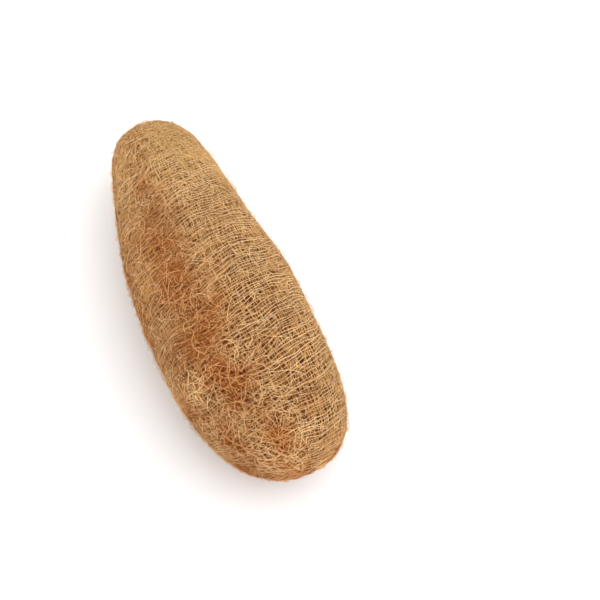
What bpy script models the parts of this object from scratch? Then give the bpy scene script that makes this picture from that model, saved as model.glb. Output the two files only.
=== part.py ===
"""A natural loofah sponge: the dried fibre skeleton of one luffa gourd, whole, lying on its side.

The gourd's long axis runs along +X, from the narrow stem end to the wide blossom end, and the sponge
rests on a small flat spot at Z = 0. It is one piece: a plump body whose surface is a raised net of
fibres round and along it, larger than life. Lengths are in metres and angles in radians, unless said.
"""

import math
import random

import bmesh
import bpy
from mathutils import Vector

# Overall form
LENGTH = 0.160
BELLY_RADIUS = 0.030
NECK_RADIUS = 0.0205
HEIGHT_SHARE = 0.90  # a sponge that lies down is a little lower than it is wide
BOW = 0.0037  # sideways bend of the long axis
STEM_DROOP = 0.014  # slope of the long axis down towards the stem end, because the blossom end is heavier
FLAT_DEPTH = 0.0020  # how far the underside is pressed flat

# Where the neck ends and the belly is reached, as shares of the length
NECK_END = 0.12
BELLY_START = 0.55
SWELL_POWER = 1.15

# Rounded ends: share of the length that each takes, and how square it is
STEM_ROUND, STEM_SQUARE = 0.187, 2.27
BLOSSOM_ROUND, BLOSSOM_SQUARE = 0.35, 2.56
STEM_SLANT, BLOSSOM_SLANT = 0.12, 0.03
SLANT_REACH = 0.30

# Shallow furrows along the body, one for each seed chamber: angle from the top in degrees,
# depth as a share of the radius, and half width in degrees
FURROWS = ((-31.0, 0.075, 19.0), (118.0, 0.050, 20.0), (222.0, 0.045, 20.0))
FURROW_FADE = 0.5  # power of the fade towards both ends

# Uneven swellings: height, waves round the body, and waves along it
SWELLINGS = ((0.00050, 2, 2.6, 0.4), (0.00035, 3, 4.3, 2.1), (0.00025, 5, 6.1, 4.0))

# Net of raised fibres
RINGS = 52
COLUMNS = 22
END_SCAR = 0.0040  # distance along the skin from an end's tip to the first ring
NET_DEPTH = 0.00115
RIDGE_HALF_WIDTH = 0.00062
NARROW_RIDGE, NARROW_DEPTH = 0.27, 0.6  # most that a ridge and its depth take of a narrow cell's width

# How far the fibres stray from even places, as shares of the spacing between them, how much of that
# is a smooth wave, where the rest is chance, and how fast the wave of the columns turns
RING_WANDER, RING_WAVE = 0.30, 0.55
COLUMN_WANDER, COLUMN_WAVE = 0.24, 0.55
TURN_PER_RING, TURN_PER_COLUMN = 0.31, 1.7

# Fibres left out
JOINED_CELLS = 0.34  # share of the short fibres that are missing, which makes long cells
OPENED_RINGS = 0.15  # share of the pairs of small cells, one beyond the other, that are one cell
LEAST_CELL_WIDTH = 0.0042
LEAST_STEP = 0.0019
NET_SEED = 11

PROFILE_SAMPLES = 600
FIBRE_TAN = (0.474, 0.242, 0.099, 1.0)
FIBRE_ROUGHNESS = 0.85
CREST_ANGLE = math.radians(35.0)  # edges sharper than this are shaded sharp


def body_radius(share):
    """Half width of the body at a share of its length from the stem end."""
    swell = min(max((share - NECK_END) / (BELLY_START - NECK_END), 0.0), 1.0) ** SWELL_POWER
    body = NECK_RADIUS + (BELLY_RADIUS - NECK_RADIUS) * math.sin(swell * math.pi / 2)
    stem = max((STEM_ROUND - share) / STEM_ROUND, 0.0)
    blossom = max((share - 1.0 + BLOSSOM_ROUND) / BLOSSOM_ROUND, 0.0)
    stem_end = max(1.0 - stem**STEM_SQUARE, 0.0) ** (1.0 / STEM_SQUARE)
    blossom_end = max(1.0 - blossom**BLOSSOM_SQUARE, 0.0) ** (1.0 / BLOSSOM_SQUARE)
    return body * stem_end * blossom_end


def furrow_share(share, angle):
    """How much of the radius the furrows take away there."""
    fade = math.sin(math.pi * share) ** FURROW_FADE
    taken = 0.0
    for middle, depth, half_width in FURROWS:
        away = math.degrees(math.remainder(angle - math.radians(middle), math.tau))
        taken += depth * fade * math.exp(-((away / half_width) ** 2))
    return taken


def skin_point(share, angle):
    """Point of the skin at a share of the length, at an angle from the top towards +Y."""
    share = min(max(share, 0.0), 1.0)
    radius = body_radius(share) * (1.0 - furrow_share(share, angle))
    fade = math.sin(math.pi * share)
    for height, round_waves, along_waves, phase in SWELLINGS:
        radius += height * fade * math.sin(round_waves * angle + along_waves * math.pi * share + phase)
    side = radius * math.sin(angle)
    stem = max(1.0 - share / SLANT_REACH, 0.0) ** 2
    blossom = max((share - 1.0 + SLANT_REACH) / SLANT_REACH, 0.0) ** 2
    x = (share - 0.5) * LENGTH + (STEM_SLANT * stem + BLOSSOM_SLANT * blossom) * side
    y = side + BOW * (2.0 * share - 1.0) ** 2
    middle_height = HEIGHT_SHARE * BELLY_RADIUS - FLAT_DEPTH + STEM_DROOP * (share - 0.5) * LENGTH
    z = middle_height + HEIGHT_SHARE * radius * math.cos(angle)
    return Vector((x, y, z))


def share_table():
    """(distance along the skin, share of the length) pairs, from the stem tip to the blossom tip."""
    table = [(0.0, 0.0)]
    walked = 0.0
    # Steps are short at both tips, where the skin runs straight out from the axis
    shares = [0.5 - 0.5 * math.cos(math.pi * k / PROFILE_SAMPLES) for k in range(PROFILE_SAMPLES + 1)]
    for before, after in zip(shares, shares[1:]):
        rise = body_radius(after) - body_radius(before)
        walked += math.hypot((after - before) * LENGTH, rise)
        table.append((walked, after))
    return table


def share_at(table, distance):
    """Share of the length at a distance along the skin."""
    for (near, near_share), (far, far_share) in zip(table, table[1:]):
        if distance <= far:
            return near_share + (far_share - near_share) * (distance - near) / (far - near)
    return 1.0


def fibre_net():
    """Closed cage whose edges are the fibres: rings round the body and columns along it."""
    bm = bmesh.new()
    bmesh.ops.create_uvsphere(bm, u_segments=COLUMNS, v_segments=RINGS + 1, radius=1.0)
    table = share_table()
    ring_step = (table[-1][0] - 2 * END_SCAR) / (RINGS - 1)
    column_step = math.tau / COLUMNS
    rng = random.Random(NET_SEED)
    ring_phases = [rng.uniform(0.0, math.tau) for _ in range(RINGS + 1)]
    crossings = {}
    tips = []
    for vert in bm.verts:
        ring = round(math.acos(max(-1.0, min(1.0, vert.co.z))) * (RINGS + 1) / math.pi)
        if ring in (0, RINGS + 1):
            tips.append(vert)
            continue
        # The sphere has its first column over +Y
        column = round(math.atan2(vert.co.x, vert.co.y) / column_step) % COLUMNS
        crossings[ring, column] = vert
    # The crossings are placed in a fixed order, so that each build draws the same numbers
    for (ring, column), vert in sorted(crossings.items()):
        angle = column * column_step
        calm = 0.0 if ring in (1, RINGS) else 1.0
        wave = math.sin(2 * angle + ring_phases[ring])
        sway = RING_WAVE * wave + (1.0 - RING_WAVE) * rng.uniform(-1.0, 1.0)
        distance = END_SCAR + (ring - 1 + calm * RING_WANDER * sway) * ring_step
        wave = math.sin(TURN_PER_RING * ring + TURN_PER_COLUMN * column)
        sway = COLUMN_WAVE * wave + (1.0 - COLUMN_WAVE) * rng.uniform(-1.0, 1.0)
        angle += COLUMN_WANDER * sway * column_step
        vert.co = skin_point(share_at(table, distance), angle)
    bmesh.ops.dissolve_verts(bm, verts=tips)
    open_long_cells(bm, crossings, rng)
    return bm


def open_long_cells(bm, crossings, rng):
    """Leaves fibres out, so that cells are long across the body and few near the tips."""
    missing = set()
    for ring in range(1, RINGS):
        gap = (crossings[ring, 0].co - crossings[ring, COLUMNS // 2].co).length * math.pi / COLUMNS
        stride = 1
        while gap * stride < LEAST_CELL_WIDTH:
            stride *= 2
        for column in range(COLUMNS):
            beside = {(ring, (column - 1) % COLUMNS), (ring, (column + 1) % COLUMNS)}
            off_stride = (column + ring // 2) % stride != 0
            joined = stride == 1 and not beside & missing and rng.random() < JOINED_CELLS
            if off_stride or joined:
                missing.add((ring, column))
    left_out = [
        bm.edges.get((crossings[ring, column], crossings[ring + 1, column]))
        for ring, column in sorted(missing)
    ]
    # A ring is opened only between two small cells, so that no cell is more than two across
    taken = set(missing)
    for ring in range(2, RINGS):
        for column in range(COLUMNS):
            right = (column + 1) % COLUMNS
            around = {(ring - 1, column), (ring - 1, right), (ring, column), (ring, right)}
            if not around & taken and rng.random() < OPENED_RINGS:
                taken |= around
                left_out.append(bm.edges.get((crossings[ring, column], crossings[ring, right])))
    bmesh.ops.dissolve_edges(bm, edges=left_out, use_verts=False)
    spare = []
    for vert in sorted(bm.verts, key=lambda v: v.co.to_tuple()):
        steps = [edge.calc_length() for edge in vert.link_edges]
        neighbours_kept = all(edge.other_vert(vert) not in spare for edge in vert.link_edges)
        if len(steps) == 2 and min(steps) < LEAST_STEP and neighbours_kept:
            spare.append(vert)
    bmesh.ops.dissolve_verts(bm, verts=spare)


def sink_cells(bm):
    """Sinks the middle of each cell, so that the fibres round it stand proud.

    Cells below Z = 0 stay level with their fibres: they are matted flat when the underside is pressed.
    """
    for face in list(bm.faces):
        if all(vert.co.z < 0.0 for vert in face.verts):
            continue
        narrowness = 2.0 * face.calc_area() / face.calc_perimeter()
        thickness = min(RIDGE_HALF_WIDTH, NARROW_RIDGE * narrowness)
        depth = min(NET_DEPTH, NARROW_DEPTH * narrowness)
        bmesh.ops.inset_individual(
            bm, faces=[face], thickness=thickness, depth=-depth, use_even_offset=True
        )


def press_flat(bm):
    """Presses the underside flat at Z = 0 and centres the sponge over the origin."""
    for vert in bm.verts:
        vert.co.z = max(vert.co.z, 0.0)
    middle_x = (min(v.co.x for v in bm.verts) + max(v.co.x for v in bm.verts)) / 2
    middle_y = (min(v.co.y for v in bm.verts) + max(v.co.y for v in bm.verts)) / 2
    bmesh.ops.translate(bm, verts=bm.verts, vec=(-middle_x, -middle_y, 0.0))


def fibre_material():
    """Dry plant fibre: tan, matt."""
    material = bpy.data.materials.new("dry_luffa_fibre")
    material.use_nodes = True
    shader = material.node_tree.nodes["Principled BSDF"]
    shader.inputs["Base Color"].default_value = FIBRE_TAN
    shader.inputs["Roughness"].default_value = FIBRE_ROUGHNESS
    shader.inputs["Metallic"].default_value = 0.0
    return material


def clear_scene():
    for obj in list(bpy.data.objects):
        bpy.data.objects.remove(obj)


def main():
    clear_scene()
    bm = fibre_net()
    bmesh.ops.recalc_face_normals(bm, faces=bm.faces)
    sink_cells(bm)
    press_flat(bm)
    mesh = bpy.data.meshes.new("loofah_sponge")
    bm.to_mesh(mesh)
    bm.free()
    mesh.materials.append(fibre_material())
    mesh.shade_smooth()
    mesh.set_sharp_from_angle(angle=CREST_ANGLE)
    sponge = bpy.data.objects.new("loofah_sponge", mesh)
    parts = bpy.data.collections.new("loofah")
    bpy.context.scene.collection.children.link(parts)
    parts.objects.link(sponge)


main()
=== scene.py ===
"""The looks of a natural loofah sponge, with every fibre of its net a modelled strand.

The sponge is the dried fibre skeleton of one luffa gourd. From the outside in it has loose hairs and
strands, stout fibres that fork where a furrow runs out, rings of fibres round the body with a thinner
forked net just under them, fine links that bind the rings like the second thread of a gauze, a felt of
short fibres in patches, sparser rings, a looser web, and a dense mat behind them all. Each of these is
one piece, laid on the same form as the solid model that it stands for. Lengths are in metres.
"""

import logging
import math
from dataclasses import dataclass, field
from enum import Enum

import bpy
import numpy as np
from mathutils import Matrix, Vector


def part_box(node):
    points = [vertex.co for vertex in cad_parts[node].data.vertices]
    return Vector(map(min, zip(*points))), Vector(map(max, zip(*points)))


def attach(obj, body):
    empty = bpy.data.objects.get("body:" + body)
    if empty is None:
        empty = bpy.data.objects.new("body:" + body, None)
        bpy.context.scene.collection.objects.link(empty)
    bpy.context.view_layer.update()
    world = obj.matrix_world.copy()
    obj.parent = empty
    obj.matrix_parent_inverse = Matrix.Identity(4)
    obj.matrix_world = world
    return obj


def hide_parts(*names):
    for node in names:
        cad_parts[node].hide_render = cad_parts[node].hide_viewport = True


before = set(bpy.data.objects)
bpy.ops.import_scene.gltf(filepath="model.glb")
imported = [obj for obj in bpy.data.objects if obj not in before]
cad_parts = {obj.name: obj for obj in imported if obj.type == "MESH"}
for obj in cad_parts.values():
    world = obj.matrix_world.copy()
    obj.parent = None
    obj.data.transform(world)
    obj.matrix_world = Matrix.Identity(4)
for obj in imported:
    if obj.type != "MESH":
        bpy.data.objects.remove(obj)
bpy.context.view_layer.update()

LOG = logging.getLogger("loofah")
MM = 0.001
SPONGE = "loofah_sponge"
TAU = math.tau
TONE_SHAPE = 1.6  # of the spread of light and dark fibres: from 1, even, up to more of them in between
TINY = 1e-12  # keeps a length that is divided by from being 0
Pair = tuple[float, float]
Waves = tuple[Pair, ...]  # a wavelength and a height for each wave
NOISE_LIMITS = {"From Min": 0.3, "From Max": 0.7}  # between which most of a noise texture lies


def to_linear(colour: str) -> tuple[float, float, float, float]:
    """Turns an sRGB colour into the linear one that shaders take.

    Args:
        colour: The colour as "#RRGGBB".

    Returns:
        Linear red, green and blue, and an alpha of 1.
    """
    parts = (int(colour[k : k + 2], 16) / 255 for k in (1, 3, 5))
    red, green, blue = (c / 12.92 if c <= 0.04045 else ((c + 0.055) / 1.055) ** 2.4 for c in parts)
    return red, green, blue, 1.0


def smooth_step(value: np.ndarray, low: float, high: float) -> np.ndarray:
    """Rises smoothly from 0 to 1.

    Args:
        value: The numbers that it rises with.
        low: Where it is still 0.
        high: Where it has come to 1. It may be below low, and then it rises the other way.

    Returns:
        One number from 0 to 1 for each value.
    """
    part = np.clip((value - low) / (high - low), 0.0, 1.0)
    return part * part * (3.0 - 2.0 * part)


def add_node(tree: bpy.types.NodeTree, kind: str, inputs: dict | None = None, **settings) -> bpy.types.Node:
    """Adds a node with its settings and links.

    Args:
        tree: The node tree that gets the node.
        kind: Blender's name of the type of node.
        inputs: For each input, by name or number, its value or the socket that feeds it.
        **settings: Properties of the node.

    Returns:
        The new node.
    """
    node = tree.nodes.new(kind)
    for name, value in settings.items():
        setattr(node, name, value)
    for key, value in (inputs or {}).items():
        if isinstance(value, bpy.types.NodeSocket):
            tree.links.new(value, node.inputs[key])
        else:
            node.inputs[key].default_value = value
    return node


def new_material(name: str) -> tuple[bpy.types.Material, bpy.types.Node]:
    """Makes a material, and returns it with its Principled shader."""
    material = bpy.data.materials.new(name)
    material.use_nodes = True
    return material, material.node_tree.nodes["Principled BSDF"]


def put(name: str, data: bpy.types.ID) -> bpy.types.Object:
    """Puts a mesh, a lamp or a camera into the scene as an object."""
    placed = bpy.data.objects.new(name, data)
    bpy.context.scene.collection.objects.link(placed)
    return placed


def note_points(mesh: bpy.types.Mesh, values: dict[str, np.ndarray]) -> None:
    """Writes numbers on a mesh's points, for its material to read.

    Args:
        mesh: The mesh.
        values: For each attribute, by name, its number at every point.
    """
    for label, value in values.items():
        attribute = mesh.attributes.new(label, "FLOAT", "POINT")
        attribute.data.foreach_set("value", value.astype(np.float32).ravel())


@dataclass
class GourdForm:
    """The skin of the sponge, the same form as the solid model's, and how it grew from place to place.

    It also says where shade and light are painted on the fibres' colour.

    A place on it is given by two numbers: along, the distance walked on the skin from the tip of the
    stem end, and turn, the angle round the body from the top towards +Y. Share is the share of the
    length from the stem end. A pair of limits says where a change starts and where it is complete.

    Attributes:
        length: From tip to tip.
        belly_radius, neck_radius: Half width of the belly, and of the neck at the stem end.
        height_share: Height as a share of the width.
        bow, droop: Bend of both ends towards +Y, and slope of the long axis down to the stem end.
        flat_depth: How far the underside is pressed flat.
        neck_end, belly_start: Shares where the neck starts to swell and where the belly is reached.
        swell_power: How late it swells between the two.
        stem_round, blossom_round: Share of the length that each rounded end takes, and its squareness.
        slants, slant_reach: How far each end leans from square, and the share of the length for it.
        furrows: Angle in degrees, depth as a share of the radius, and half width of each furrow.
        furrow_fade: Power of their fade towards both ends.
        furrow_spread: Limits for how fibres that follow them spread wider at the blossom end.
        swellings: Height, waves round the body, waves along it, and phase of each unevenness.
        least_radius: Half width that is taken at the very tips.
        felted_stem, flank_open, furrow_felt: Limits for the felt at the stem end, for its loss on the
            flank, and for the felt in the furrows.
        felted_flank, lit_lobe: Middle and half width in degrees of the flank that is felted over and
        of the lobe that faces the lamp, where light is painted on.
        shoulder, gauze_end: Where the gauze is most open, as degrees from a furrow and half width, and
            limits for its closing.
        fork_start, fork_width, fork_edge: Limits for the forked net along the body, how much wider than
            a furrow it lies, and limits of nearness to a furrow.
        pale_end: Limits for the paler colour towards the stem end.
        blossom_shade, tip_shade, tip_height, underside_shade: Limits for the red painted shade of the
        blossom end, for the deeper painted shade low on its tip, along and in height, and for the
        painted shade of the underside.
        pole_shift: How far under the blossom end's tip the rings close, at which angle, and how far
            from the tip fibres are moved for it.
        scar_rim: Limits for the felt round the point where they close.
        samples, walk, shares: Points that the walk is measured by, their distances along the skin and
            their shares of the length.
        middle: What centres the form on the solid model.
    """

    length: float = 160 * MM
    belly_radius: float = 30 * MM
    neck_radius: float = 20.5 * MM
    height_share: float = 0.90
    bow: float = 3.7 * MM
    droop: float = 0.014
    flat_depth: float = 2.0 * MM
    neck_end: float = 0.12
    belly_start: float = 0.55
    swell_power: float = 1.15
    stem_round: Pair = (0.187, 2.27)
    blossom_round: Pair = (0.35, 2.56)
    slants: Pair = (0.12, 0.03)
    slant_reach: float = 0.30
    furrows: tuple[tuple[float, float, float], ...] = (
        (-31.0, 0.075, 19.0),
        (118.0, 0.050, 20.0),
        (222.0, 0.045, 20.0),
    )
    furrow_fade: float = 0.5
    furrow_spread: Pair = (0.55, 0.95)
    swellings: tuple[tuple[float, float, float, float], ...] = (
        (0.50 * MM, 2, 2.6, 0.4),
        (0.35 * MM, 3, 4.3, 2.1),
        (0.25 * MM, 5, 6.1, 4.0),
    )
    least_radius: float = 1.5 * MM
    felted_stem: Pair = (0.34, 0.04)
    felted_flank: Pair = (-88.0, 32.0)
    flank_open: Pair = (0.50, 0.75)
    furrow_felt: Pair = (0.65, 0.40)
    gauze_end: Pair = (0.65, 0.35)
    shoulder: Pair = (46.0, 30.0)
    fork_start: Pair = (0.60, 0.80)
    fork_width: float = 2.0
    fork_edge: Pair = (0.15, 0.55)
    # The lobe that faces the lamp, painted lighter
    lit_lobe: Pair = (55.0, 42.0)
    # Towards the stem end the colour grows paler
    pale_end: Pair = (0.75, 0.25)
    # Red painted shade on the blossom end, low on its tip, and on the underside
    blossom_shade: Pair = (0.62, 1.0)
    tip_shade: Pair = (0.90, 0.99)
    tip_height: Pair = (42 * MM, 22 * MM)
    underside_shade: Pair = (15 * MM, 3 * MM)
    pole_shift: tuple[float, float, float] = (9 * MM, math.radians(180.0), 90 * MM)
    scar_rim: Pair = (9 * MM, 2.5 * MM)
    samples: int = 4000
    walk: np.ndarray = field(init=False)
    shares: np.ndarray = field(init=False)
    middle: np.ndarray = field(init=False)

    def __post_init__(self) -> None:
        """Measures the walk along the skin and centres the form on the solid model."""
        self.shares = 0.5 - 0.5 * np.cos(np.linspace(0.0, math.pi, self.samples))
        rise = np.diff(self.radius(self.shares))
        run = np.diff(self.shares) * self.length
        self.walk = np.concatenate([[0.0], np.cumsum(np.hypot(run, rise))])
        self.middle = np.zeros(3)
        rings, points = 400, 360
        share, turn = np.meshgrid(np.linspace(0.0, 1.0, rings), np.linspace(0.0, TAU, points))
        skin = self.skin(share, turn).reshape(-1, 3)
        low, high = (np.array(corner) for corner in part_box(SPONGE))
        self.middle = (skin.min(axis=0) + skin.max(axis=0)) / 2 - (low + high) / 2
        self.middle[2] = 0.0

    @property
    def reach(self) -> float:
        """Distance along the skin from tip to tip."""
        return float(self.walk[-1])

    @staticmethod
    def away(turn: np.ndarray, middle: float) -> np.ndarray:
        """Degrees from an angle of the body to each of the angles given."""
        return (np.degrees(turn) - middle + 180.0) % 360.0 - 180.0

    def around(self, turn: np.ndarray, middle: float, half_width: float | np.ndarray) -> np.ndarray:
        """How near angles are to one angle of the body.

        Args:
            turn: Angles round the body.
            middle: The one angle, in degrees.
            half_width: Degrees from it at which the answer has fallen to about a third.

        Returns:
            From 0, far away, to 1, at the angle.
        """
        return np.exp(-((self.away(turn, middle) / half_width) ** 2))

    def radius(self, share: np.ndarray) -> np.ndarray:
        """Half width of the body at shares of its length."""
        swell = np.clip((share - self.neck_end) / (self.belly_start - self.neck_end), 0.0, 1.0)
        bulge = np.sin(swell**self.swell_power * math.pi / 2)
        body = self.neck_radius + (self.belly_radius - self.neck_radius) * bulge
        for near, (reach, square) in ((share, self.stem_round), (1.0 - share, self.blossom_round)):
            inwards = np.clip((reach - near) / reach, 0.0, 1.0)
            body = body * np.clip(1.0 - inwards**square, 0.0, 1.0) ** (1.0 / square)
        return body

    def near_furrow(self, turn: np.ndarray, width: float | np.ndarray = 1.0) -> np.ndarray:
        """How near an angle is to the middle of a furrow. A shallow furrow counts for less.

        Args:
            turn: Angles round the body.
            width: How much wider than the furrow itself the answer reaches.

        Returns:
            From 0, far away, to 1, in the middle of the deepest furrow.
        """
        nearest = np.zeros(np.broadcast(turn, width).shape)
        deepest = max(depth for _, depth, _ in self.furrows)
        for middle, depth, half_width in self.furrows:
            near = self.around(turn, middle, half_width * width)
            nearest = np.maximum(nearest, (depth / deepest) ** 2 * near)
        return nearest

    def furrow(self, share: np.ndarray, turn: np.ndarray, width: float | np.ndarray = 1.0) -> np.ndarray:
        """How far a place lies in a furrow.

        Args:
            share: Shares of the length.
            turn: Angles round the body.
            width: How much wider than the furrow itself the answer reaches.

        Returns:
            From 0, out on a lobe or at a tip, to 1, in the middle of the deepest furrow.
        """
        return np.sin(math.pi * share) ** self.furrow_fade * self.near_furrow(turn, width)

    def forking(self, share: np.ndarray, turn: np.ndarray) -> np.ndarray:
        """How thick the forked net lies, from 0 to 1: only where a furrow runs out at the blossom end."""
        near = self.near_furrow(turn, self.fork_width)
        return smooth_step(share, *self.fork_start) * smooth_step(near, *self.fork_edge)

    def stem_end(self, share: np.ndarray) -> np.ndarray:
        """How near a place is to the felted stem end, from 0 to 1."""
        return smooth_step(share, *self.felted_stem)

    def flank(self, turn: np.ndarray) -> np.ndarray:
        """How far a place lies on the felted flank, from 0 to 1."""
        return self.around(turn, *self.felted_flank)

    def scar(self, share: np.ndarray, turn: np.ndarray) -> np.ndarray:
        """How near a place is to the scar of the blossom, where the rings close, from 0 to 1."""
        shift, heading, _ = self.pole_shift
        from_tip = self.reach - np.interp(share, self.shares, self.walk)
        ahead = from_tip * np.cos(turn) - shift * math.cos(heading)
        aside = from_tip * np.sin(turn) - shift * math.sin(heading)
        return smooth_step(np.hypot(ahead, aside), *self.scar_rim)

    def felted(self, share: np.ndarray, turn: np.ndarray) -> np.ndarray:
        """How far short fibres felt over the rings.

        Args:
            share: Shares of the length.
            turn: Angles round the body.

        Returns:
            From 0 to 1, at the stem end and over the scar. The flank and the furrows come near 1
            towards the stem end.
        """
        in_furrow, on_flank, flank_loss = 0.8, 0.9, 0.6
        furrow = in_furrow * self.furrow(share, turn) * smooth_step(share, *self.furrow_felt)
        ends = np.maximum(self.stem_end(share), self.scar(share, turn))
        flank = (on_flank - flank_loss * smooth_step(share, *self.flank_open)) * self.flank(turn)
        return np.maximum(np.maximum(ends, flank), furrow)

    def past_pole(self, along: np.ndarray, turn: np.ndarray) -> tuple[np.ndarray, np.ndarray]:
        """Moves fibres near the blossom end, so that their rings close under it and not round its tip.

        Args:
            along: Distances along the skin, with a row for a fibre and a column for a point.
            turn: Angles round the body.

        Returns:
            The distances and the angles where the fibres then lie.
        """
        shift, heading, reach = self.pole_shift
        from_tip = self.reach - along
        pull = shift * smooth_step(from_tip, reach, 0.0)
        ahead = from_tip * np.cos(turn) + pull * math.cos(heading)
        aside = from_tip * np.sin(turn) + pull * math.sin(heading)
        return self.reach - np.hypot(ahead, aside), np.unwrap(np.arctan2(aside, ahead), axis=-1)

    def lobe(self, turn: np.ndarray) -> np.ndarray:
        """How far a place lies on the lobe that faces the lamp, where light is painted on, from 0 to 1."""
        return self.around(turn, *self.lit_lobe)

    def paleness_and_painted_light(self, share: np.ndarray, turn: np.ndarray) -> np.ndarray:
        """How pale a place is: the stem end the most, then the lobe that faces the lamp, as painted light.

        Args:
            share: Shares of the length.
            turn: Angles round the body.

        Returns:
            From 0 to 1. The flank and the deepest furrow stay low.
        """
        at_stem, elsewhere, on_lobe = 0.75, 0.55, 0.75
        flank_shade, furrow_shade = 0.75, 0.8
        # Paler towards the stem end, and painted light on the lobe that faces the lamp
        along = np.maximum(smooth_step(share, *self.pale_end), on_lobe * self.lobe(turn))
        pale = np.minimum(at_stem * self.stem_end(share) + elsewhere * along, 1.0)
        return pale * (1.0 - flank_shade * self.flank(turn)) * (1.0 - furrow_shade * self.near_furrow(turn))

    def openness(self, share: np.ndarray, turn: np.ndarray) -> np.ndarray:
        """How open the gauze is: most beside a furrow, in patches elsewhere, and least where it is felted.

        Args:
            share: Shares of the length.
            turn: Angles round the body.

        Returns:
            From 0, felted over, to 1, open to the dark inside.
        """
        usual, patchy, by_furrow, shutting, full = 0.95, 0.5, 1.1, 2.0, 2.0
        small_patches, furrow_width, under_forks, on_flank, up_stem = 0.6, 1.1, 0.6, 0.8, 0.3
        along = np.interp(share, self.shares, self.walk)
        beside = np.zeros(np.broadcast(share, turn).shape)
        from_furrow, half_width = self.shoulder
        for middle, _, _ in self.furrows:
            beside = np.maximum(beside, self.around(turn, middle + from_furrow, half_width))
        patches = Ripple(15 * MM, 61).at(self, along, turn)
        patches = patches + small_patches * Ripple(6 * MM, 52).at(self, along, turn)
        in_furrow = self.furrow(share, turn, furrow_width) * (1.0 - under_forks * self.forking(share, turn))
        closed = np.maximum(in_furrow, self.scar(share, turn))
        opened = smooth_step(patchy * patches + usual + by_furrow * beside - shutting * closed, 0.0, full)
        opened = opened * (1.0 - self.stem_end(share)) * (1.0 - on_flank * self.flank(turn))
        return opened * (1.0 - up_stem * smooth_step(share, *self.gauze_end))

    def painted_shade_and_red_patches(self, share: np.ndarray, turn: np.ndarray) -> np.ndarray:
        """How red a place is painted: painted shade, with random red patches of the fibre's own.

        The shade is strongest in the furrows, then low on the blossom tip, on the flank away from the lamp,
        on the underside, and on the blossom end but for the lit lobe. Less of it reaches the stem end.

        Args:
            share: Shares of the length.
            turn: Angles round the body.

        Returns:
            From 0 to 1.
        """
        at_blossom, at_tip, on_flank, flank_loss, below = 0.35, 0.65, 0.5, 0.2, 0.5
        furrow_width, wider, patchy, stem_loss = 1.35, 0.25, 0.16, 0.8
        along = np.interp(share, self.shares, self.walk)
        height = self.skin(share, turn)[..., 2]
        blossom = smooth_step(share, *self.blossom_shade)
        # Painted shade: redder in furrows, low on the tip, on the unlit flank, underneath, at the blossom end
        red = self.furrow(share, turn, furrow_width + wider * blossom)
        tip = smooth_step(share, *self.tip_shade) * smooth_step(height, *self.tip_height)
        for amount in (
            at_blossom * blossom * (1.0 - self.lobe(turn)),
            at_tip * tip,
            (on_flank - flank_loss * smooth_step(share, *self.flank_open)) * self.flank(turn),
            below * smooth_step(height, *self.underside_shade),
        ):
            red = 1.0 - (1.0 - red) * (1.0 - amount)
        # Random red patches, the fibre's own tone
        red = red + patchy * Ripple(17 * MM, 53).at(self, along, turn)
        return np.clip(red - stem_loss * self.stem_end(share), 0.0, 1.0)

    def skin(self, share: np.ndarray, turn: np.ndarray) -> np.ndarray:
        """Points of the skin.

        Args:
            share: Shares of the length.
            turn: Angles round the body.

        Returns:
            The points, with their three coordinates last.
        """
        fade = np.sin(math.pi * share)
        taken = np.zeros(np.broadcast(share, turn).shape)
        for middle, depth, half_width in self.furrows:
            taken += depth * fade**self.furrow_fade * self.around(turn, middle, half_width)
        radius = self.radius(share) * (1.0 - taken)
        for height, round_waves, along_waves, phase in self.swellings:
            wave = np.sin(round_waves * turn + along_waves * math.pi * share + phase)
            radius = radius + height * fade * wave
        side = radius * np.sin(turn)
        stem = np.clip(1.0 - share / self.slant_reach, 0.0, 1.0) ** 2
        blossom = np.clip(1.0 - (1.0 - share) / self.slant_reach, 0.0, 1.0) ** 2
        x = (share - 0.5) * self.length + (self.slants[0] * stem + self.slants[1] * blossom) * side
        y = side + self.bow * (2.0 * share - 1.0) ** 2
        rise = self.height_share * self.belly_radius - self.flat_depth
        z = rise + self.droop * (share - 0.5) * self.length + self.height_share * radius * np.cos(turn)
        return np.stack([x, y, z], axis=-1) - self.middle

    def share_at(self, along: np.ndarray) -> np.ndarray:
        """Shares of the length at distances along the skin."""
        return np.interp(along, self.walk, self.shares)

    def girth_radius(self, along: np.ndarray) -> np.ndarray:
        """Half width of the body at distances along the skin, never quite nothing."""
        return np.maximum(self.radius(self.share_at(along)), self.least_radius)

    def place(self, along: np.ndarray, turn: np.ndarray, lift: np.ndarray) -> tuple[np.ndarray, ...]:
        """Points over or under the skin.

        Args:
            along: Distances along the skin.
            turn: Angles round the body.
            lift: Heights over the skin, below 0 inside the body.

        Returns:
            The points, then at each the unit vectors out of the skin, along it and round it.
        """
        step, nudge, tip = 0.05 * MM, 1e-3, 0.7 * MM
        along = np.clip(along, tip, self.reach - tip)
        share = self.share_at(along)
        onward = self.skin(self.share_at(along + step), turn) - self.skin(self.share_at(along - step), turn)
        aside = self.skin(share, turn + nudge) - self.skin(share, turn - nudge)
        onward /= np.linalg.norm(onward, axis=-1, keepdims=True)
        aside /= np.linalg.norm(aside, axis=-1, keepdims=True)
        out = np.cross(onward, aside)
        out /= np.linalg.norm(out, axis=-1, keepdims=True)
        return self.skin(share, turn) + out * lift[..., None], out, onward, aside


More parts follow.
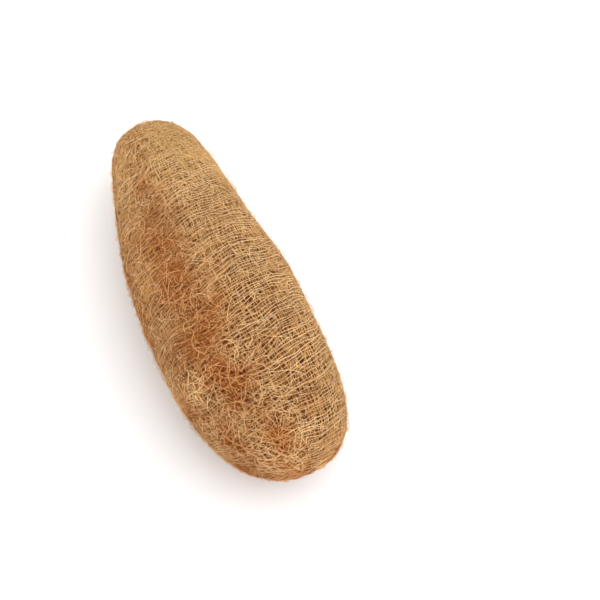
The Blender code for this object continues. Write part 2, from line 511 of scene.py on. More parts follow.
@dataclass
class Ripple:
    """Smooth chance variation over the skin, about -1 to 1, that meets itself round the body.

    Attributes:
        size: Rough distance between its swells.
        seed: Seed of its draws.
        waves: How many waves it is made of.
    """

    size: float
    seed: int
    waves: int = 14

    def at(self, form: GourdForm, along: np.ndarray, turn: np.ndarray) -> np.ndarray:
        """The variation at places on the skin.

        Args:
            form: The gourd's form.
            along: Distances along the skin.
            turn: Angles round the body.

        Returns:
            One number for each place.
        """
        rng = np.random.default_rng(self.seed)
        total = np.zeros(np.broadcast(along, turn).shape)
        for _ in range(self.waves):
            heading = rng.uniform(0.0, TAU)
            number = TAU / (self.size * rng.uniform(0.7, 1.6))
            round_waves = round(number * math.sin(heading) * form.belly_radius)
            phase = rng.uniform(0.0, TAU)
            total += np.sin(round_waves * turn + number * math.cos(heading) * along + phase)
        return total / math.sqrt(self.waves / 2)


@dataclass
class Strands:
    """Paths of fibres on the form, each array with a row for a fibre and a column for a point.

    Attributes:
        along: Distances along the skin.
        turn: Angles round the body.
        lift: Heights over the skin.
        thickness: Radii of the fibre.
    """

    along: np.ndarray
    turn: np.ndarray
    lift: np.ndarray
    thickness: np.ndarray

    def mesh(self, name: str, form: GourdForm, sides: int, tones: np.ndarray) -> bpy.types.Mesh:
        """Makes closed tubes along the paths.

        Args:
            name: Name of the mesh.
            form: The gourd's form.
            sides: Number of sides of each tube.
            tones: One number from 0 to 1 for each fibre, how dark it is beside its neighbours.

        Returns:
            The mesh, with attributes for the fibre's tone, for painted shade with red patches and for
            paleness with painted light, and a map of the unrolled skin.
        """
        centre, out, onward, aside = form.place(self.along, self.turn, self.lift)
        centre[..., 2] = np.maximum(centre[..., 2], self.thickness)
        tangent = np.gradient(centre, axis=1)
        tangent /= np.maximum(np.linalg.norm(tangent, axis=-1, keepdims=True), TINY)
        beside = np.cross(tangent, out)
        beside /= np.maximum(np.linalg.norm(beside, axis=-1, keepdims=True), TINY)
        upward = np.cross(beside, tangent)
        angles = TAU * (np.arange(sides) + 0.5) / sides
        offsets = np.cos(angles)[:, None] * upward[:, :, None] + np.sin(angles)[:, None] * beside[:, :, None]
        offsets *= self.thickness[:, :, None, None]
        points = centre[:, :, None] + offsets
        points[..., 2] = np.maximum(points[..., 2], 0.0)

        fibres, steps = self.along.shape
        corner = np.arange(fibres * steps * sides).reshape(fibres, steps, sides)
        after = np.roll(corner, -1, axis=2)
        walls = np.stack([corner[:, 1:], after[:, 1:], after[:, :-1], corner[:, :-1]], axis=-1).reshape(-1, 4)
        caps = np.concatenate([corner[:, 0], corner[:, -1][:, ::-1]])
        loops = np.concatenate([walls.ravel(), caps.ravel()])
        counts = np.concatenate([np.full(len(walls), 4), np.full(len(caps), sides)])
        starts = np.concatenate([[0], np.cumsum(counts)[:-1]])

        mesh = bpy.data.meshes.new(name)
        mesh.vertices.add(points.size // 3)
        mesh.vertices.foreach_set("co", points.astype(np.float32).ravel())
        mesh.loops.add(len(loops))
        mesh.loops.foreach_set("vertex_index", loops.astype(np.int32))
        mesh.polygons.add(len(counts))
        mesh.polygons.foreach_set("loop_start", starts.astype(np.int32))
        mesh.polygons.foreach_set("use_smooth", np.ones(len(counts), bool))

        share = form.share_at(self.along)
        # The fibre's tone, then where shade and light are painted on it
        values = {
            "tone": np.broadcast_to(tones[:, None], self.along.shape),
            "shade_and_red_patches": form.painted_shade_and_red_patches(share, self.turn),
            "pale_and_painted_light": form.paleness_and_painted_light(share, self.turn),
        }
        note_points(mesh, {label: np.repeat(value, sides, axis=1) for label, value in values.items()})

        # The map is the skin unrolled, with each fibre in the turn of the body where it starts. Height
        # counts as some way along it too, so that a fibre's top and bottom lie apart on the map
        height_counts = 0.5
        turned = self.turn - np.round(self.turn[:, :1] / TAU) * TAU
        across = turned[..., None] + (offsets * aside[:, :, None]).sum(axis=-1) / form.belly_radius
        down = self.along[..., None] + (offsets * (onward + height_counts * out)[:, :, None]).sum(axis=-1)
        across = (across - across.min()) / (across.max() - across.min())
        down = (down - down.min()) / (down.max() - down.min())
        unrolled = np.stack([across, down], axis=-1).reshape(-1, 2)
        chart = mesh.uv_layers.new(name="OFBake")
        chart.data.foreach_set("uv", unrolled[loops].astype(np.float32).ravel())
        mesh.update(calc_edges=True)
        mesh.validate()
        return mesh


class Tint(Enum):
    """Colours of one kind of fibre: its light one, its dark one, its red one for painted shade, and its pale
    one for painted light and the stem end.
    """

    RING = ("#FCD8A4", "#E6B272", "#D2843A", "#F8D29C")
    LINK = ("#EEBA78", "#D89A54", "#B2621C", "#F2C680")
    FELT = ("#E2A862", "#D0924A", "#B86A24", "#EABC78")
    # The web's colours are darker copies of the fibres', painted shade for fibres that lie deep
    SHADED_WEB = ("#A05C1A", "#783A08", "#86420A", "#AE7022")
    HAIR = ("#FFE2AE", "#F4C480", "#E8A868", "#F6CE94")


@dataclass(frozen=True)
class LuffaFibre:
    """Dried luffa fibre, retted and left in the sun.

    It is bare plant fibre: dry and matt, with pale and dark strands side by side. Painted shade makes it
    redder and darker, as in a furrow, and painted light and the stem end make it paler.

    Attributes:
        tint: The fibre's colours.
        patch: Real size of the larger patches of colour.
        streak: Length of the streaks on a fibre. Real ones are finer and wouldn't show.
        relief: Depth of the grooves between the streaks.
        streak_shade: How much darker or lighter a streak is than its fibre.
        patch_value: Brightness of the darkest and of the lightest patches.
        roughness: Roughness of dry plant fibre.
        ior: Index of refraction of cellulose.
    """

    tint: Tint
    patch: float = 22 * MM
    streak: float = 1.6 * MM
    relief: float = 0.05 * MM
    streak_shade: float = 0.25
    patch_value: Pair = (0.9, 1.06)
    roughness: float = 0.78
    ior: float = 1.47

    def material(self) -> bpy.types.Material:
        """Makes the material, with its colour from the fibre's own tone and from its place, where shade and
        light are painted.
        """
        material, shader = new_material(f"dried_luffa_{self.tint.name.lower()}")
        tree = material.node_tree
        light, dark, furrowed, pale_and_painted_light = (to_linear(colour) for colour in self.tint.value)
        place = add_node(tree, "ShaderNodeTexCoord").outputs["Object"]
        tone, shade_and_red_patches, pale = (
            add_node(tree, "ShaderNodeAttribute", attribute_name=label).outputs["Fac"]
            for label in ("tone", "shade_and_red_patches", "pale_and_painted_light")
        )
        streaks, patches = (
            add_node(
                tree, "ShaderNodeTexNoise", {"Vector": place, "Scale": 1 / size, "Detail": 2.0}
            ).outputs["Fac"]
            for size in (self.streak, self.patch)
        )
        spread, value, matt = (
            add_node(tree, "ShaderNodeMapRange", {**fed, "To Min": least, "To Max": most}).outputs["Result"]
            for fed, least, most in (
                ({"Value": streaks, **NOISE_LIMITS}, -self.streak_shade, self.streak_shade),
                ({"Value": patches, **NOISE_LIMITS}, *self.patch_value),
                ({"Value": streaks}, self.roughness - 0.1, self.roughness + 0.1),
            )
        )
        shade = add_node(
            tree, "ShaderNodeMath", {0: tone, 1: spread}, operation="ADD", use_clamp=True
        ).outputs[0]
        # Red is mixed in as painted shade, the pale colour as painted light and towards the stem end
        colour = light
        for amount, other in ((shade, dark), (shade_and_red_patches, furrowed), (pale, pale_and_painted_light)):
            colour = add_node(
                tree, "ShaderNodeMix", {0: amount, 6: colour, 7: other}, data_type="RGBA"
            ).outputs[2]
        colour = add_node(tree, "ShaderNodeHueSaturation", {"Value": value, "Color": colour}).outputs["Color"]
        bump = add_node(
            tree, "ShaderNodeBump", {"Height": streaks, "Strength": 0.3, "Distance": self.relief}
        ).outputs["Normal"]
        for label, fed in (("Base Color", colour), ("Roughness", matt), ("Normal", bump)):
            tree.links.new(fed, shader.inputs[label])
        shader.inputs["IOR"].default_value = self.ior
        return material


@dataclass(frozen=True)
class LuffaMat:
    """The dense mat of fibre behind the net, pressed by growth into a felt.

    It is the same dry fibre, too fine to part into strands, but its colours are painted shade: where it
    lies near the skin it is tan with paler strands that cross it, and where it lies deep it is dark brown.
    It has no shine.

    Attributes:
        ground, strand: Colours near the skin, already dark as painted shade: as they are, where red painted
        shade is laid on, and where they are paler with painted light and at the stem end.
        deep: Colour far under the skin, darker still as painted shade.
        cell: Size of the felt's cells, coarser than real ones so that they show.
        strand_edge: Shares of a cell at which a strand starts to fade and has faded.
        relief: Height of its strands.
        roughness: Roughness of dry plant fibre in shade.
    """

    ground: tuple[str, str, str] = ("#925618", "#8C480E", "#B07A30")
    strand: tuple[str, str, str] = ("#B67A32", "#AC5E1A", "#C89848")
    deep: str = "#683006"
    cell: float = 1.1 * MM
    strand_edge: Pair = (0.04, 0.25)
    relief: float = 0.3 * MM
    roughness: float = 0.9

    def material(self) -> bpy.types.Material:
        """Makes the material, a net of paler strands over a ground that darkens with depth.

        The darkening with depth is painted shade.
        """
        material, shader = new_material("luffa_mat_in_painted_shade")
        tree = material.node_tree
        place = add_node(tree, "ShaderNodeTexCoord").outputs["Object"]
        shade_and_red_patches, sunk, pale = (
            add_node(tree, "ShaderNodeAttribute", attribute_name=label).outputs["Fac"]
            for label in ("shade_and_red_patches", "sunk", "pale_and_painted_light")
        )
        cells = add_node(
            tree,
            "ShaderNodeTexVoronoi",
            {"Vector": place, "Scale": 1 / self.cell},
            feature="DISTANCE_TO_EDGE",
        ).outputs["Distance"]
        core, rim = self.strand_edge
        strand = add_node(
            tree,
            "ShaderNodeMapRange",
            {"Value": cells, "From Min": core, "From Max": rim, "To Min": 1.0, "To Max": 0.0},
        ).outputs["Result"]
        # Redder where painted shade is laid on, paler with painted light and at the stem end
        colours = []
        for near, red, stem in (self.ground, self.strand):
            colour = to_linear(near)
            for amount, other in ((shade_and_red_patches, red), (pale, stem)):
                colour = add_node(
                    tree, "ShaderNodeMix", {0: amount, 6: colour, 7: to_linear(other)}, data_type="RGBA"
                ).outputs[2]
            colours.append(colour)
        colour = colours[0]
        # Paler strands over the ground; then the more the mat is sunk, the more painted shade darkens it
        for amount, other in ((strand, colours[1]), (sunk, to_linear(self.deep))):
            colour = add_node(
                tree, "ShaderNodeMix", {0: amount, 6: colour, 7: other}, data_type="RGBA"
            ).outputs[2]
        bump = add_node(
            tree, "ShaderNodeBump", {"Height": strand, "Strength": 0.8, "Distance": self.relief}
        ).outputs["Normal"]
        tree.links.new(colour, shader.inputs["Base Color"])
        tree.links.new(bump, shader.inputs["Normal"])
        shader.inputs["Roughness"].default_value = self.roughness
        return material


def add_piece(name: str, mesh: bpy.types.Mesh, material: bpy.types.Material) -> bpy.types.Object:
    """Puts a mesh into the scene as a piece of the sponge.

    Args:
        name: Name of the piece.
        mesh: Its mesh.
        material: Its finish.

    Returns:
        The piece, riding on the sponge and standing for its solid.
    """
    mesh.materials.append(material)
    piece = put(name, mesh)
    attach(piece, "root")
    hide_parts(SPONGE)
    triangles = sum(len(face.vertices) - 2 for face in mesh.polygons)
    LOG.info("%s: %d triangles", name, triangles)
    return piece


def wander(rng: np.random.Generator, walked: np.ndarray, waves: Waves) -> np.ndarray:
    """How far each fibre strays to one side as it goes.

    Args:
        rng: Source of chance.
        walked: Distance from the fibre's start at each of its points.
        waves: Usual wavelength and height of each wave.

    Returns:
        The distance to one side at each point.
    """
    fibres = len(walked)
    total = np.zeros(walked.shape)
    for length, height in waves:
        own_length = length * rng.uniform(0.75, 1.35, (fibres, 1))
        own_height = height * rng.uniform(0.4, 1.3, (fibres, 1))
        total += own_height * np.sin(TAU * walked / own_length + rng.uniform(0, TAU, (fibres, 1)))
    return total


def taper(steps: int, ends: float, power: float = 0.5) -> np.ndarray:
    """Thickness of a fibre from end to end, as a share of its full one.

    Args:
        steps: Number of points.
        ends: Share that is left at both ends.
        power: How blunt the ends are.

    Returns:
        One share for each point.
    """
    middle = np.sin(np.linspace(0.0, math.pi, steps)) ** power
    return ends + (1.0 - ends) * middle


@dataclass
class FibreLayer:
    """One layer of fibres: it lays its strands on the form and dresses them.

    Attributes:
        form: The gourd's form.
        name: Name of the piece.
        tint: Colours of its fibres.
        seed: Seed of its draws.
        thickness: Radius of a fibre.
        depth: How far under the skin it lies.
        sides: Number of sides of a fibre.
        vary: Thinnest and thickest fibre, as shares of that radius.
    """

    form: GourdForm
    name: str
    tint: Tint
    seed: int
    thickness: float
    depth: float
    sides: int = 3
    vary: Pair = (0.75, 1.25)

    def strands(self, rng: np.random.Generator) -> Strands:
        """Lays the strands. Each kind of layer has its own way."""
        raise NotImplementedError

    def build(self) -> bpy.types.Object:
        """Makes the layer's piece."""
        rng = np.random.default_rng(self.seed)
        strands = self.strands(rng)
        tones = rng.beta(TONE_SHAPE, TONE_SHAPE, len(strands.along))
        mesh = strands.mesh(self.name, self.form, self.sides, tones)
        return add_piece(self.name, mesh, LuffaFibre(self.tint).material())


@dataclass
class RingFibres(FibreLayer):
    """Fibres that run round the body in pairs, which part and meet again.

    Attributes:
        pitch: Distance from one pair to the next.
        gap: Usual distance between the two of a pair.
        crossing: The waves by which the two of a pair part and cross.
        arc: Rough length of a fibre, before the next one takes over.
        overlap: Least and most that a fibre spans, as a share of its even part of the ring.
        stray: The waves of a pair to the side.
        weave: The waves of a fibre up and down.
        sway: Height of the slow waves that neighbours share.
        calm: Distance from a tip within which the waves grow smaller.
        tilt: How far the rings lean from square to the body, as a share of its half width.
        leaning: Angle of the body where a ring lies nearest to the blossom end.
        tuck: How far a fibre dips at its ends.
        sink: How far it dips under felt.
        steps: Points on a fibre.
    """

    pitch: float = 2.25 * MM
    gap: float = 1.1 * MM
    crossing: Waves = ((24 * MM, 0.42 * MM), (10 * MM, 0.14 * MM))
    arc: float = 62 * MM
    overlap: Pair = (1.06, 1.25)
    stray: Waves = ((26 * MM, 0.32 * MM), (11 * MM, 0.18 * MM), (5.2 * MM, 0.08 * MM))
    weave: Waves = ((9 * MM, 0.12 * MM), (4.5 * MM, 0.06 * MM))
    sway: float = 0.6 * MM
    calm: float = 8 * MM
    tilt: float = 0.25
    leaning: float = math.radians(-50.0)
    tuck: float = 0.7 * MM
    sink: float = 0.6 * MM
    steps: int = 44

    def strands(self, rng: np.random.Generator) -> Strands:
        """Lays each ring as a few long arcs that overlap."""
        form = self.form
        stem_tip, blossom_tip, start_chance, place_chance = 1.4 * MM, 2.5 * MM, 0.08, 0.10
        starts, spans, rings = [], [], []
        for ring in np.arange(stem_tip, form.reach - blossom_tip, self.pitch):
            arcs = max(2, round(TAU * float(form.girth_radius(ring)) / self.arc))
            first = rng.uniform(0.0, TAU)
            for k in range(arcs):
                spans.append(TAU / arcs * rng.uniform(*self.overlap))
                starts.append(first + k * TAU / arcs + rng.normal(0.0, start_chance))
                rings.append(ring + rng.normal(0.0, place_chance) * self.pitch)
        start, span, ring = (np.array(v)[:, None] for v in (starts, spans, rings))
        turn = start + span * np.linspace(0.0, 1.0, self.steps)
        walked = (turn - start) * form.girth_radius(ring)

        # The waves are larger in a furrow and smaller near the tips
        wilder, wider, blossom_calm, least = 1.6, 0.6, 0.4, 0.1
        share = form.share_at(ring)
        in_furrow = form.furrow(share, turn, 1.0 + wider * smooth_step(share, *form.furrow_spread))
        loose = 1.0 + wilder * in_furrow
        slow = Ripple(34 * MM, 5).at(form, ring, turn) + 0.2 * Ripple(13 * MM, 6).at(form, ring, turn)
        edge = np.clip(np.minimum(ring, blossom_calm * (form.reach - ring)) / self.calm, least, 1.0)
        lean = self.tilt * form.girth_radius(ring) * np.cos(turn - self.leaning)
        middle = ring + lean + edge * (self.sway * slow + loose * wander(rng, walked, self.stray))
        parted = self.gap + wander(rng, walked, self.crossing)
        both = np.array([-0.5, 0.5])[:, None, None]
        along = (middle + both * edge * loose**0.5 * parted).reshape(-1, self.steps)
        along, turn = form.past_pole(along, np.tile(turn, (2, 1)))

        # A fibre dips at its ends, under felt, and half as far or less in a furrow and under forks
        furrow_dip, fork_dip, blunt, end_part, felted_loss = 0.5, 0.35, 0.22, 0.4, 0.2
        share = form.share_at(along)
        weave = wander(rng, np.tile(walked, (2, 1)), self.weave)
        ends = np.clip((1.0 - taper(self.steps, 0.0, blunt)) / end_part, 0.0, 1.0)
        felted = form.felted(share, turn)
        under_net = np.maximum(furrow_dip * form.furrow(share, turn), fork_dip * form.forking(share, turn))
        lift = -self.depth + weave - self.tuck * ends - self.sink * np.maximum(felted, under_net)
        full = self.thickness * rng.uniform(*self.vary, (len(along), 1)) * (1.0 - felted_loss * felted)
        return Strands(along, turn, lift, full * taper(self.steps, 0.5))


@dataclass
class LinkFibres(FibreLayer):
    """Fine fibres along the body that bind the rings, like the second thread of a gauze.

    Attributes:
        pitch: Distance from one to the next, round the body.
        run: Length of a fibre.
        band_step: Distance from one band of fibres to the next, as a share of that length.
        stray: The waves of a fibre to the side.
        weave: Its waves up and down.
        tuck: How far it dips at its ends.
        sink: How far it dips under felt.
        steps: Points on a fibre.
    """

    vary: Pair = (0.7, 1.3)
    pitch: float = 0.80 * MM
    run: float = 5 * MM
    band_step: float = 0.85
    stray: Waves = ((9 * MM, 0.16 * MM),)
    weave: Waves = ((5 * MM, 0.08 * MM),)
    tuck: float = 0.25 * MM
    sink: float = 0.5 * MM
    steps: int = 4

    def strands(self, rng: np.random.Generator) -> Strands:
        """Lays bands of short fibres, evenly round the body but for the furrows, which have fewer."""
        form = self.form
        tip, end_tip, furrow_loss = 3 * MM, 1.0 * MM, 0.75
        turn_chance, place_chance, slope_chance = 0.2, 0.22, 0.10
        middles, turns = [], []
        for band in np.arange(tip, form.reach - tip, self.run * self.band_step):
            count = max(6, round(TAU * float(form.girth_radius(band)) / self.pitch))
            shift = rng.uniform(0.0, 1.0)
            turns.append((np.arange(count) + shift + rng.normal(0.0, turn_chance, count)) * TAU / count)
            middles.append(band + rng.normal(0.0, place_chance, count) * self.run)
        middle, turn = (np.concatenate(v)[:, None] for v in (middles, turns))
        kept = rng.random(len(middle)) > furrow_loss * form.furrow(form.share_at(middle), turn)[:, 0]
        middle, turn = middle[kept], turn[kept]
        run = self.run * rng.uniform(0.6, 1.35, middle.shape)
        walked = run * np.linspace(0.0, 1.0, self.steps)
        along = np.clip(middle - run / 2 + walked, end_tip, form.reach - end_tip)
        slope = rng.normal(0.0, slope_chance, middle.shape)
        stray = wander(rng, walked, self.stray) + slope * (walked - run / 2)
        along, turn = form.past_pole(along, turn + stray / form.girth_radius(along))
        felted = form.felted(form.share_at(along), turn)
        ends = 1.0 - taper(self.steps, 0.0)
        lift = -self.depth + wander(rng, walked, self.weave) - self.tuck * ends - self.sink * felted
        full = self.thickness * rng.uniform(*self.vary, middle.shape)
        return Strands(along, turn, lift, full * taper(self.steps, 0.5))


class Haunt(Enum):
    """Where a layer of loose fibres lies thickest."""

    EVERYWHERE = "everywhere"
    FELT = "felt"
    FURROWS = "furrows"
    FORKS = "forks"
    ROUGH = "rough"


@dataclass
class WebFibres(FibreLayer):
    """Fibres that wander over the skin in every direction.

    Attributes:
        count: Number of fibres.
        run: Length of a fibre.
        spread: How much the depth differs from fibre to fibre.
        curl: How fast a fibre changes its heading, in radians a step.
        cross: From 0, every heading alike, to 1, mostly round the body.
        haunt: Where the fibres lie thickest.
        rise: How far a fibre stands off the skin at its highest.
        felted_lift: How much higher felt lies where it covers the rings.
        steps: Points on a fibre.
    """

    vary: Pair = (0.65, 1.35)
    count: int = 1800
    run: float = 14 * MM
    spread: float = 0.6 * MM
    curl: float = 0.22
    cross: float = 0.3
    haunt: Haunt = Haunt.EVERYWHERE
    rise: float = 0.0
    felted_lift: float = 0.38 * MM
    steps: int = 12

    def liking(self, along: np.ndarray, turn: np.ndarray) -> np.ndarray:
        """How likely a fibre is to lie at each place.

        Args:
            along: Distances along the skin.
            turn: Angles round the body.

        Returns:
            From 0 to 1.
        """
        form, share = self.form, self.form.share_at(along)

        # Each answer keeps some share everywhere, so that no place is quite bare
        if self.haunt is Haunt.FELT:
            shut = 1.0 - 0.88 * form.openness(share, turn)
            return shut * (0.7 + 0.3 * form.felted(share, turn))
        near, wider = 1.3, 0.8
        furrow = form.furrow(share, turn, near + wider * smooth_step(share, *form.furrow_spread))
        if self.haunt is Haunt.FURROWS:
            return 0.12 + 0.88 * furrow
        if self.haunt is Haunt.FORKS:
            return np.maximum(0.05 + 0.3 * furrow, form.forking(share, turn))
        if self.haunt is Haunt.ROUGH:
            return 0.35 + 0.65 * np.maximum(furrow, 0.7 * form.flank(turn))
        return np.ones(np.broadcast(along, turn).shape)

    def starts(self, rng: np.random.Generator) -> tuple[np.ndarray, np.ndarray]:
        """Draws where the fibres start, evenly over the skin's area but for what they like.

        Args:
            rng: Source of chance.

        Returns:
            Distances along the skin and angles round the body.
        """
        tip, samples, tries_each = 2 * MM, 2000, 12
        line = np.linspace(tip, self.form.reach - tip, samples)
        weight = np.cumsum(self.form.girth_radius(line))
        tries = tries_each * self.count
        along = np.interp(rng.uniform(0.0, 1.0, tries), weight / weight[-1], line)
        turn = rng.uniform(0.0, TAU, tries)
        kept = np.flatnonzero(rng.random(tries) < self.liking(along, turn))[: self.count]
        return along[kept], turn[kept]

    def strands(self, rng: np.random.Generator) -> Strands:
        """Walks each fibre over the skin from its start."""
        form = self.form
        start, turn_start = self.starts(rng)
        count = len(start)
        first = rng.uniform(0.0, TAU, (count, 1))
        first = first + 0.5 * self.cross * np.sin(2 * first)
        bend = rng.normal(0.0, self.curl, (count, 1)) + rng.normal(0.0, self.curl, (count, self.steps))
        heading = first + np.cumsum(bend, axis=1)
        stride = self.run * rng.uniform(0.5, 1.5, (count, 1)) / (self.steps - 1)

        # A fibre that comes to a tip is turned back, and the small girth there doesn't whirl it round
        tip, least_radius = 1.5 * MM, 3 * MM
        along = np.empty((count, self.steps))
        turn = np.empty_like(along)
        along[:, 0], turn[:, 0] = start, turn_start
        low, high = tip, form.reach - tip
        for k in range(1, self.steps):
            onward = low + np.abs(along[:, k - 1] + np.cos(heading[:, k]) * stride[:, 0] - low)
            along[:, k] = high - np.abs(high - onward)
            radius = np.maximum(form.girth_radius(along[:, k]), least_radius)
            turn[:, k] = turn[:, k - 1] + np.sin(heading[:, k]) * stride[:, 0] / radius

        # It stands off the skin as an arch, or more and more towards a loose end
        loose_share, arch_power, end_power = 0.35, 0.7, 1.5
        walked = stride * np.arange(self.steps)
        own = rng.uniform(-1.0, 1.0, (count, 1)) * self.spread
        arch = np.sin(np.linspace(0.0, math.pi, self.steps)) ** arch_power
        loose_end = np.linspace(0.0, 1.0, self.steps) ** end_power
        free = rng.random((count, 1)) < loose_share
        height = self.rise * rng.uniform(0.15, 1.0, (count, 1)) ** 1.5
        lift = -self.depth + own + wander(rng, walked, ((8 * MM, self.spread / 3),))
        lift = lift + height * np.where(free, loose_end, arch)
        if self.haunt is Haunt.FELT:
            lift = lift + self.felted_lift * form.felted(form.share_at(along), turn)
        full = self.thickness * rng.uniform(*self.vary, (count, 1))
        return Strands(along, turn, lift, full * taper(self.steps, 0.45))


@dataclass
class ForkedNet(FibreLayer):
    """Fibres that fork like the veins of a leaf, most of them where a furrow runs out.

    Attributes:
        cell: Size of a cell of the net, along and round the body.
        shaken: Spread of a cell's corners along the body, as a share of the cell, and round it, as a
            share of the way from corner to corner.
        sag: Spread of a fibre's bulge, along the body and round it.
        bare_tip: Distance from a tip that stays free of it.
        steps: Points on a fibre from fork to fork.
    """

    vary: Pair = (0.75, 1.1)
    cell: Pair = (3.9 * MM, 4.5 * MM)
    shaken: Pair = (0.26, 0.45)
    sag: float = 0.18 * MM
    bare_tip: float = 4 * MM
    steps: int = 4

    def sides_of_cells(self, rng: np.random.Generator) -> tuple[np.ndarray, np.ndarray]:
        """Lays out shaken six-sided cells, whose sides meet three at a corner.

        Args:
            rng: Source of chance.

        Returns:
            The first and the last point of each side, as distance along the skin and angle.
        """
        high, wide = self.cell
        row_step = 0.75 * high  # as in a honeycomb
        rows = int(self.form.reach / row_step)
        columns = 2 * round(TAU * self.form.belly_radius / wide)
        row, column = np.meshgrid(np.arange(rows), np.arange(columns), indexing="ij")
        zigzag = np.where((row + column) % 2, 0.25, -0.25)
        along = (row + zigzag) * row_step + rng.normal(0.0, self.shaken[0], row.shape) * high
        turn = (column + rng.normal(0.0, self.shaken[1], row.shape)) * TAU / columns
        corners = np.stack([along, turn], axis=-1)
        beside = np.roll(corners, -1, axis=1)
        beside[:, -1, 1] += TAU
        upright = (row[:-1] + column[:-1]) % 2 == 1
        first = np.concatenate([corners.reshape(-1, 2), corners[:-1][upright]])
        last = np.concatenate([beside.reshape(-1, 2), corners[1:][upright]])
        return first, last

    def strands(self, rng: np.random.Generator) -> Strands:
        """Lays a curved fibre on each side of a cell that is kept."""
        form = self.form
        thick, in_furrow, anywhere, uneven = 0.70, 0.35, 0.03, 0.2
        first, last = self.sides_of_cells(rng)
        middle, turn = ((first + last) / 2).T
        share = form.share_at(middle)
        sparse = in_furrow * form.furrow(share, turn) * smooth_step(share, 0.3, 0.55)
        wanted = np.maximum(thick * form.forking(share, turn), anywhere + sparse)
        wanted = wanted * (np.minimum(middle, form.reach - middle) > self.bare_tip)
        kept = rng.random(len(first)) < wanted
        first, last = first[kept], last[kept]
        way = np.linspace(0.0, 1.0, self.steps)[None, :, None]
        path = first[:, None] * (1 - way) + last[:, None] * way
        bulge = np.sin(np.linspace(0.0, math.pi, self.steps))
        along = path[..., 0] + rng.normal(0.0, self.sag, (len(first), 1)) * bulge
        swing = rng.normal(0.0, self.sag, (len(first), 1)) * bulge
        turn = path[..., 1] + swing / form.girth_radius(along)
        lift = Ripple(6 * MM, 31).at(form, along, turn) * uneven * MM - self.depth
        full = self.thickness * rng.uniform(*self.vary, (len(first), 1))
        return Strands(along, turn, lift, full * np.ones(self.steps))


@dataclass
class InnerMat:
    """The dense mat of fibre behind the net, a closed body a little smaller than the sponge.

    Attributes:
        form: The gourd's form.
        depth: How far under the skin it lies where the net is felted over.
        opened: How much deeper it lies where the gauze is open.
        furrowed: How much deeper it lies in a furrow.
        holed: How many times that again it sinks for each unit of the ripple that makes its holes.
        relief: Height of its unevenness.
        tip: Distance along the skin from each tip where it is closed.
        clear: Its least height over the floor.
        rows: Rings of points along it.
        columns: Points on a ring.
    """

    form: GourdForm
    depth: float = 1.3 * MM
    opened: float = 2.0 * MM
    furrowed: float = 0.2 * MM
    holed: float = 2.0
    relief: float = 0.09 * MM
    tip: float = 2.6 * MM
    clear: float = 0.4 * MM
    rows: int = 150
    columns: int = 170

    def build(self) -> bpy.types.Object:
        """Makes the mat, with a point at each end to close it."""
        form = self.form
        along = np.linspace(self.tip, form.reach - self.tip, self.rows)
        turn = np.arange(self.columns) * TAU / self.columns
        along, turn = np.meshgrid(along, turn, indexing="ij")
        share = form.share_at(along)
        furrow = form.furrow(share, turn, 1.2)
        holes = np.clip(Ripple(8 * MM, 43).at(form, along, turn), 0.0, 1.5)
        sunk = self.opened * form.openness(share, turn) + self.furrowed * furrow * (1.0 + self.holed * holes)
        uneven = Ripple(5 * MM, 41).at(form, along, turn)
        uneven = uneven + 0.8 * Ripple(2.6 * MM, 42, 30).at(form, along, turn)
        points, _, _, _ = form.place(along, turn, -self.depth - sunk + self.relief * uneven)
        points[..., 2] = np.maximum(points[..., 2], self.clear)
        tips = np.stack([points[0].mean(axis=0), points[-1].mean(axis=0)])
        corner = np.arange(self.rows * self.columns).reshape(self.rows, self.columns)
        after = np.roll(corner, -1, axis=1)
        walls = np.stack([corner[:-1], corner[1:], after[1:], after[:-1]], axis=-1).reshape(-1, 4)
        stem_tip, blossom_tip = corner.size, corner.size + 1
        ends = [(stem_tip, int(a), int(b)) for a, b in zip(corner[0], after[0])]
        ends += [(blossom_tip, int(b), int(a)) for a, b in zip(corner[-1], after[-1])]
        mesh = bpy.data.meshes.new("inner_mat")
        mesh.from_pydata(np.concatenate([points.reshape(-1, 3), tips]).tolist(), [], walls.tolist() + ends)
        # sunk darkens the mat as painted shade; the others carry painted shade and light, as on the fibres
        values = {
            "shade_and_red_patches": form.painted_shade_and_red_patches(share, turn),
            "sunk": np.clip(sunk / self.opened, 0.0, 1.0),
            "pale_and_painted_light": form.paleness_and_painted_light(share, turn),
        }
        for label, value in values.items():
            values[label] = np.concatenate([value.ravel(), value[0, :1], value[-1, :1]])
        note_points(mesh, values)
        mesh.shade_smooth()
        mesh.validate()
        return add_piece("inner_mat", mesh, LuffaMat().material())


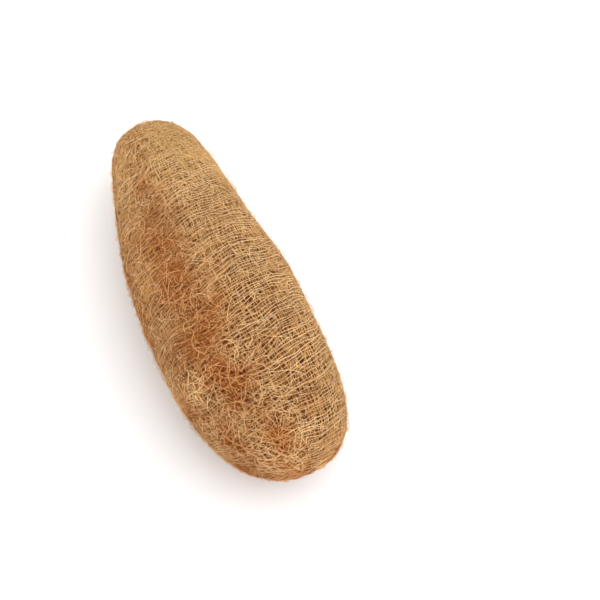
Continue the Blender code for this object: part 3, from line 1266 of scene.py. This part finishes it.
@dataclass(frozen=True)
class PhotoView:
    """The photograph's view, for an image of 600 by 600 pixels.

    Attributes:
        azimuth: Degrees round the sponge from -Y towards +X.
        elevation: Degrees above the table.
        distance: From the camera to the point that it is set by.
        focal: Focal length in pixels.
        target: That point of the sponge.
        pixel: Where the point lies in the image.
        size: Side of the image in pixels.
    """

    azimuth: float = 67.4
    elevation: float = 62.0
    distance: float = 0.60
    focal: float = 1575.0
    target: tuple[float, float, float] = (0.0, 1.5 * MM, 25.1 * MM)
    pixel: Pair = (217.0, 291.3)
    size: int = 600

    def build(self) -> bpy.types.Object:
        """Makes the camera and turns it until the point lies where the photograph has it."""
        data = bpy.data.cameras.new("photo_view")
        data.sensor_width = 36.0
        data.lens = self.focal / self.size * data.sensor_width
        data.clip_start = 0.01
        camera = put("photo_view", data)
        around, above = math.radians(self.azimuth), math.radians(self.elevation)
        back = Vector(
            (math.sin(around) * math.cos(above), -math.cos(around) * math.cos(above), math.sin(above))
        )
        camera.location = Vector(self.target) + back * self.distance
        half = self.size / 2
        seen = Vector(((self.pixel[0] - half) / self.focal, (half - self.pixel[1]) / self.focal, -1.0))
        aimed = (-back).to_track_quat("-Z", "Y") @ seen.rotation_difference(Vector((0.0, 0.0, -1.0)))
        camera.rotation_mode = "QUATERNION"
        camera.rotation_quaternion = aimed
        bpy.context.scene.camera = camera
        return camera


@dataclass(frozen=True)
class Studio:
    """A pale floor and soft light, the strongest of it from the photograph's upper right.

    Attributes:
        floor_side: Side of the floor.
        sky: Strength of the even light.
        key_power: Power of the lamp in watts.
        key_size: Width of the lamp.
        key_place: Where the lamp stands.
    """

    floor_side: float = 6.0
    sky: float = 1.17
    key_power: float = 6.1
    key_size: float = 1.8
    key_place: tuple[float, float, float] = (0.40, 0.62, 0.90)

    def build(self) -> None:
        """Makes the floor, the sky and the lamp."""
        scene = bpy.context.scene
        scene.view_settings.view_transform = "Standard"
        half = self.floor_side / 2
        corners = [(-half, -half, 0), (half, -half, 0), (half, half, 0), (-half, half, 0)]
        mesh = bpy.data.meshes.new("floor")
        mesh.from_pydata(corners, [], [(0, 1, 2, 3)])
        floor = put("floor", mesh)
        paper, shader = new_material("white_paper")
        shader.inputs["Base Color"].default_value = to_linear("#FAFAFA")
        shader.inputs["Roughness"].default_value = 0.9
        mesh.materials.append(paper)
        world = bpy.data.worlds.new("sky")
        world.use_nodes = True
        scene.world = world
        ground = world.node_tree.nodes["Background"]
        ground.inputs["Color"].default_value = to_linear("#FFFFFF")
        ground.inputs["Strength"].default_value = self.sky
        lamp = bpy.data.lights.new("key", "AREA")
        lamp.shape = "DISK"
        lamp.size = self.key_size
        lamp.energy = self.key_power
        key = put("key", lamp)
        key.location = self.key_place
        key.rotation_mode = "QUATERNION"
        key.rotation_quaternion = (-key.location).to_track_quat("-Z", "Y")


def main() -> None:
    """Builds the camera, the light and the sponge, from the inside out."""
    logging.basicConfig(level=logging.INFO, format="%(message)s")
    PhotoView().build()
    Studio().build()
    form = GourdForm()
    LOG.info("skin from tip to tip: %.1f mm", form.reach / MM)
    InnerMat(form).build()
    # inner_web and under_rings lie deep and take the web's darker colours: painted shade
    WebFibres(form, "inner_web", Tint.SHADED_WEB, 101, 0.14 * MM, 1.45 * MM, count=2100).build()
    WebFibres(
        form, "felt", Tint.FELT, 108, 0.10 * MM, 0.55 * MM,
        count=4900, run=8 * MM, spread=0.22 * MM, curl=0.14, cross=0.5, haunt=Haunt.FELT, steps=7,
    ).build()
    RingFibres(form, "under_rings", Tint.SHADED_WEB, 102, 0.12 * MM, 0.95 * MM, pitch=3.0 * MM, steps=34).build()
    LinkFibres(form, "links", Tint.LINK, 103, 0.115 * MM, 0.12 * MM).build()
    RingFibres(form, "outer_rings", Tint.RING, 104, 0.12 * MM, 0.0).build()
    ForkedNet(form, "under_net", Tint.RING, 109, 0.10 * MM, 0.30 * MM).build()
    ForkedNet(form, "forked_net", Tint.HAIR, 105, 0.12 * MM, -0.06 * MM, sides=4).build()
    WebFibres(
        form, "struts", Tint.HAIR, 110, 0.10 * MM, 0.12 * MM,
        count=260, run=6.5 * MM, spread=0.15 * MM, curl=0.03, cross=0.4, haunt=Haunt.FORKS, steps=5,
    ).build()
    WebFibres(
        form, "loose_strands", Tint.HAIR, 106, 0.115 * MM, 0.0,
        count=230, run=13 * MM, spread=0.15 * MM, curl=0.10, cross=0.8, haunt=Haunt.FURROWS,
        rise=0.4 * MM, steps=18,
    ).build()
    WebFibres(
        form, "fuzz", Tint.HAIR, 107, 0.075 * MM, 0.05 * MM,
        count=4000, run=3.6 * MM, spread=0.12 * MM, curl=0.4, cross=0.5, haunt=Haunt.ROUGH,
        rise=1.2 * MM, steps=6,
    ).build()


if __name__ == "__main__":
    main()
